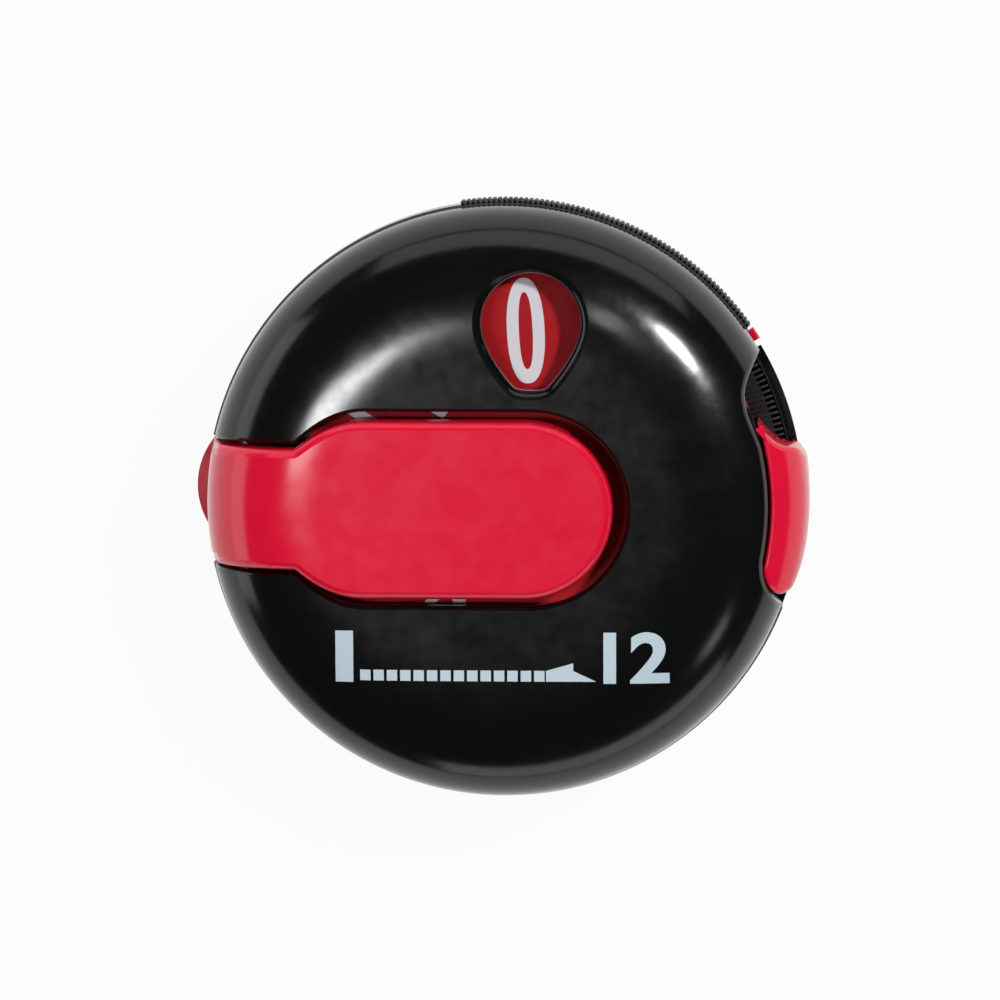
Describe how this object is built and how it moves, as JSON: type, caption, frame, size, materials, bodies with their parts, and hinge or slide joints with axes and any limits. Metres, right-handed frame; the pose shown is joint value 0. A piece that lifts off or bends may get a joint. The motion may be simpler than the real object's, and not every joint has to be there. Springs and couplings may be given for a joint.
{
  "type": "hand tally counter",
  "caption": "Round palm-size stroke counter with a thumb button that steps a number dial seen in a sight window, a rim lever that resets it and a belt clip on the back.",
  "frame": {"origin": "on the round case's axis, in the plane of the belt clip's outer face, on which the counter lies", "axes": "+Z out of the face through the button, +X from the button's hinge to the reset lever, +Y from the button to the sight window"},
  "size_m": [0.0439, 0.0423, 0.0194],
  "materials": {
    "black_gloss": "glossy black moulded plastic",
    "pink_gloss": "glossy pink-red moulded plastic",
    "dial_red": "satin dark red plastic with pale digits",
    "acetal": "natural acetal",
    "steel": "bright steel",
    "spring_steel": "spring steel"
  },
  "bodies": {
    "case": {"front_cover": "black_gloss", "back_case": "black_gloss", "case_screw_1": "steel", "case_screw_2": "steel", "button_hinge_pin": "steel", "dial_axle": "steel", "axle_clip": "spring_steel", "return_spring": "spring_steel", "hold_pawl": "spring_steel", "hold_pawl_screw": "steel", "reset_spring": "spring_steel", "clip_hinge_pin": "steel", "clip_spring": "spring_steel"},
    "button": {"count_button": "pink_gloss", "drive_pawl": "spring_steel", "drive_pawl_screw": "steel", "button_spring": "spring_steel"},
    "dial": {"number_dial": "dial_red", "crown_ratchet": "acetal", "hold_ratchet": "acetal"},
    "reset": {"reset_lever": "pink_gloss"},
    "clip": {"rear_clip": "pink_gloss"}
  },
  "joints": [
    {"name": "button_press", "type": "hinge", "parent": "case", "child": "button", "pos_m": [-0.0182, 0, 0.0098], "axis": [0, 1, 0], "range_deg": [0, 4.5], "stiffness_Nm_per_rad": 0.1, "springref_deg": -17.19, "deforming": ["drive_pawl", "button_spring"]},
    {"name": "dial_spin", "type": "hinge", "parent": "case", "child": "dial", "pos_m": [0.0022, 0.0006, 0.0134], "axis": [0, 0, 1], "range_deg": [0, 332.3], "stiffness_Nm_per_rad": 0.0001, "springref_deg": -57.3, "deforming": ["hold_pawl", "return_spring"]},
    {"name": "reset_turn", "type": "hinge", "parent": "case", "child": "reset", "pos_m": [0, 0, 0.008], "axis": [0, 0, 1], "range_deg": [0, 7.5], "stiffness_Nm_per_rad": 0.02, "springref_deg": -17.19, "deforming": ["reset_spring"]},
    {"name": "clip_open", "type": "hinge", "parent": "case", "child": "clip", "pos_m": [0.009, 0, 0.0038], "axis": [0, -1, 0], "range_deg": [0, 12], "stiffness_Nm_per_rad": 0.1, "springref_deg": -34.38, "deforming": ["clip_spring"]}
  ]
}
